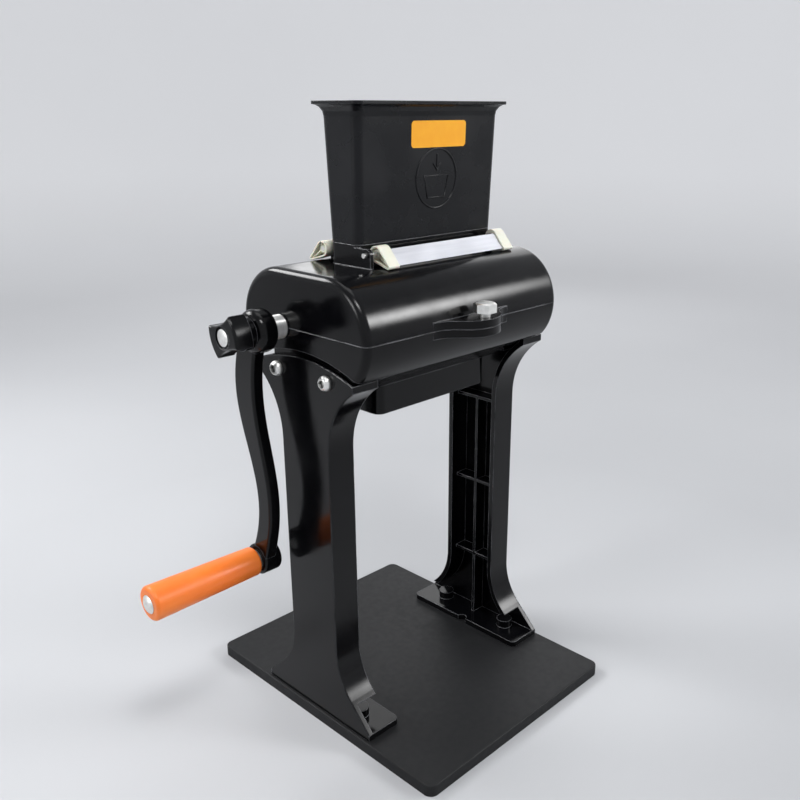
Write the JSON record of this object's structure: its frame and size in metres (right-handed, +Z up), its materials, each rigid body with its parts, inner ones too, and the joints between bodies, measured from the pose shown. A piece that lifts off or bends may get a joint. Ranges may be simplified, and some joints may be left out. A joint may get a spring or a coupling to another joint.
{
  "type": "hand-crank meat tenderizer",
  "caption": "Hand-cranked meat tenderizer: hopper over two intermeshing bladed rollers with combs in a hinged housing, on two cast legs and a base plate.",
  "frame": {"origin": "middle of the underside of the base plate", "axes": "+Z up; the rollers lie along X with the crank at -X; the front, with the lug and the lock screw, faces -Y"},
  "size_m": [0.3816, 0.3, 0.5435],
  "materials": {
    "black_gloss": "gloss",
    "base_black": "fine grain",
    "hopper_black": "satin",
    "zinc_steel": "zinc plated",
    "latch_steel": "brushed",
    "latch_cream": "satin",
    "shaft_steel": "turned",
    "bush_bronze": "turned",
    "blade_steel": "ground",
    "gear_steel": "machined",
    "comb_steel": "brushed",
    "grip_orange": "satin"
  },
  "bodies": {
    "stand": {"base_plate": "base_black", "left_leg": "black_gloss", "right_leg": "black_gloss", "foot_screws": "zinc_steel", "leg_bolts": "zinc_steel", "lower_housing": "black_gloss", "hinge_pins": "zinc_steel", "shaft_bushes": "bush_bronze", "front_comb": "comb_steel", "rear_comb": "comb_steel"},
    "cover": {"top_cover": "black_gloss", "front_latch_rod": "zinc_steel", "rear_latch_rod": "zinc_steel"},
    "hopper": {"hopper": "hopper_black"},
    "front_latch": {"front_latch_plate": "latch_steel", "front_latch_ends": "latch_cream"},
    "rear_latch": {"rear_latch_plate": "latch_steel", "rear_latch_ends": "latch_cream"},
    "lock_screw": {"lock_screw": "zinc_steel"},
    "drive_roller": {"drive_shaft": "shaft_steel", "drive_blades": "blade_steel", "drive_spacers": "shaft_steel", "drive_gear": "gear_steel", "shaft_collar": "shaft_steel", "crank_arm": "black_gloss", "crank_knob": "black_gloss", "knob_stud": "zinc_steel", "grip_spindle": "zinc_steel", "grip_washer": "zinc_steel"},
    "driven_roller": {"driven_shaft": "shaft_steel", "driven_blades": "blade_steel", "driven_spacers": "shaft_steel", "driven_gear": "gear_steel"},
    "grip": {"grip": "grip_orange"}
  },
  "joints": [
    {"name": "cover_hinge", "type": "hinge", "parent": "stand", "child": "cover", "pos_m": [0, 0.0845, 0.37], "axis": [-1, 0, 0], "range_deg": [0, 95]},
    {"name": "hopper_lift", "type": "slide", "parent": "cover", "child": "hopper", "axis": [0, 0, 1], "range_m": [0, 0.03]},
    {"name": "front_latch_swing", "type": "hinge", "parent": "cover", "child": "front_latch", "pos_m": [0.0175, -0.027, 0.4275], "axis": [-1, 0, 0], "range_deg": [0, 80]},
    {"name": "rear_latch_swing", "type": "hinge", "parent": "cover", "child": "rear_latch", "pos_m": [0.0065, 0.027, 0.4275], "axis": [1, 0, 0], "range_deg": [0, 80]},
    {"name": "lock_screw_lift", "type": "slide", "parent": "cover", "child": "lock_screw", "axis": [0, 0, 1], "range_m": [0, 0.007]},
    {"name": "crank_turn", "type": "hinge", "parent": "stand", "child": "drive_roller", "pos_m": [0, 0.025, 0.37], "axis": [1, 0, 0], "continuous": true},
    {"name": "driven_turn", "type": "hinge", "parent": "stand", "child": "driven_roller", "pos_m": [0, -0.025, 0.37], "axis": [1, 0, 0], "continuous": true},
    {"name": "grip_spin", "type": "hinge", "parent": "drive_roller", "child": "grip", "pos_m": [-0.2, 0.03842, 0.16243], "axis": [1, 0, 0], "continuous": true}
  ],
  "couplings": [
    {"joint": "driven_turn", "follows": "crank_turn", "ratio": -1}
  ]
}
